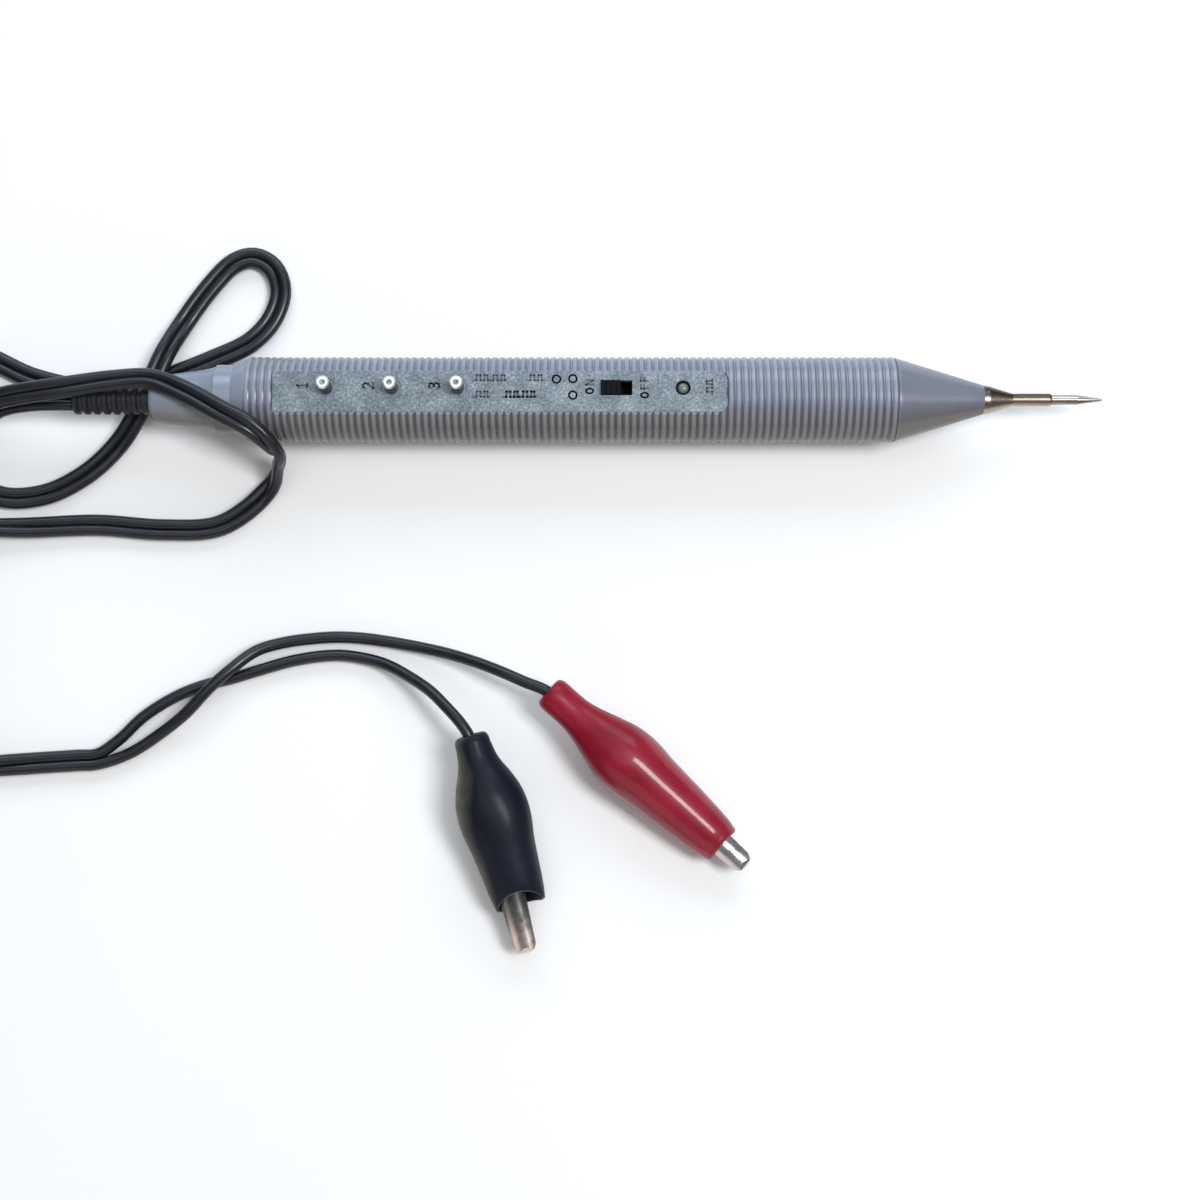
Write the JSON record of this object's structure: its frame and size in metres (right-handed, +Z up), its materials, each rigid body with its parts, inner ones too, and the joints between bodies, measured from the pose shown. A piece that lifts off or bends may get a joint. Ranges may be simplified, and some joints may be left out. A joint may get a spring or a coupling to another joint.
{
  "type": "logic probe",
  "caption": "Hand-held logic probe with a ribbed round barrel, needle tip, labelled flat with posts, slide switch and lamp, and a twin lead ending in alligator clips.",
  "frame": {"origin": "on the table under the middle of the probe's length, below its axis", "axes": "+X along the probe towards the needle, +Z up out of the label, +Y to the left of the needle's direction"},
  "size_m": [0.2934, 0.1519, 0.0219],
  "materials": {
    "barrel_plastic": "satin, moulded",
    "rubber": "matt",
    "label_foil": "brushed foil",
    "nickel": "bright nickel",
    "steel": "plain",
    "switch_black": "satin",
    "lamp_lens": "diffused lens",
    "board": "solder mask",
    "package": "moulded",
    "capacitor": "sleeve",
    "resistor": "lacquer",
    "lead_vinyl": "glossy vinyl",
    "tie": "plain",
    "red_vinyl": "glossy vinyl",
    "black_vinyl": "dusty vinyl"
  },
  "bodies": {
    "probe": {"upper_shell": "barrel_plastic", "lower_shell": "barrel_plastic", "tail_cone": "barrel_plastic", "strain_relief": "rubber", "label_plate": "label_foil", "tip_collar": "nickel", "tip_needle": "nickel", "rear_post": "nickel", "middle_post": "nickel", "front_post": "nickel", "switch_housing": "steel", "switch_terminals": "nickel", "indicator_lamp": "lamp_lens", "lamp_leads": "nickel", "circuit_board": "board", "logic_chip": "package", "chip_pins": "nickel", "driver_transistors": "package", "filter_capacitor": "capacitor", "resistors": "resistor", "inner_wires": "lead_vinyl", "power_lead": "lead_vinyl", "lead_coil": "lead_vinyl", "coil_tie": "tie", "lead_end": "lead_vinyl", "red_lead": "lead_vinyl", "black_lead": "lead_vinyl", "red_boot": "red_vinyl", "red_fixed_jaw": "nickel", "red_jaw_pin": "steel", "red_jaw_spring": "steel", "black_boot": "black_vinyl", "black_fixed_jaw": "nickel", "black_jaw_pin": "steel", "black_jaw_spring": "steel"},
    "switch_lever": {"switch_lever": "switch_black"},
    "red_jaw": {"red_moving_jaw": "nickel"},
    "black_jaw": {"black_moving_jaw": "nickel"}
  },
  "joints": [
    {"name": "mode_switch", "type": "slide", "parent": "probe", "child": "switch_lever", "axis": [1, 0, 0], "range_m": [0, 0.0024]},
    {"name": "red_clip_jaw", "type": "hinge", "parent": "probe", "child": "red_jaw", "pos_m": [0.0168, -0.08373, 0.00624], "axis": [-0.6613, -0.7501, 0], "range_deg": [0, 22], "stiffness_Nm_per_rad": 0.02, "springref_deg": -28.65, "deforming": ["red_boot", "red_jaw_spring"]},
    {"name": "black_clip_jaw", "type": "hinge", "parent": "probe", "child": "black_jaw", "pos_m": [-0.01804, -0.09497, 0.00685], "axis": [-0.9668, -0.2554, 0], "range_deg": [0, 22], "stiffness_Nm_per_rad": 0.02, "springref_deg": -28.65, "deforming": ["black_boot", "black_jaw_spring"]}
  ]
}
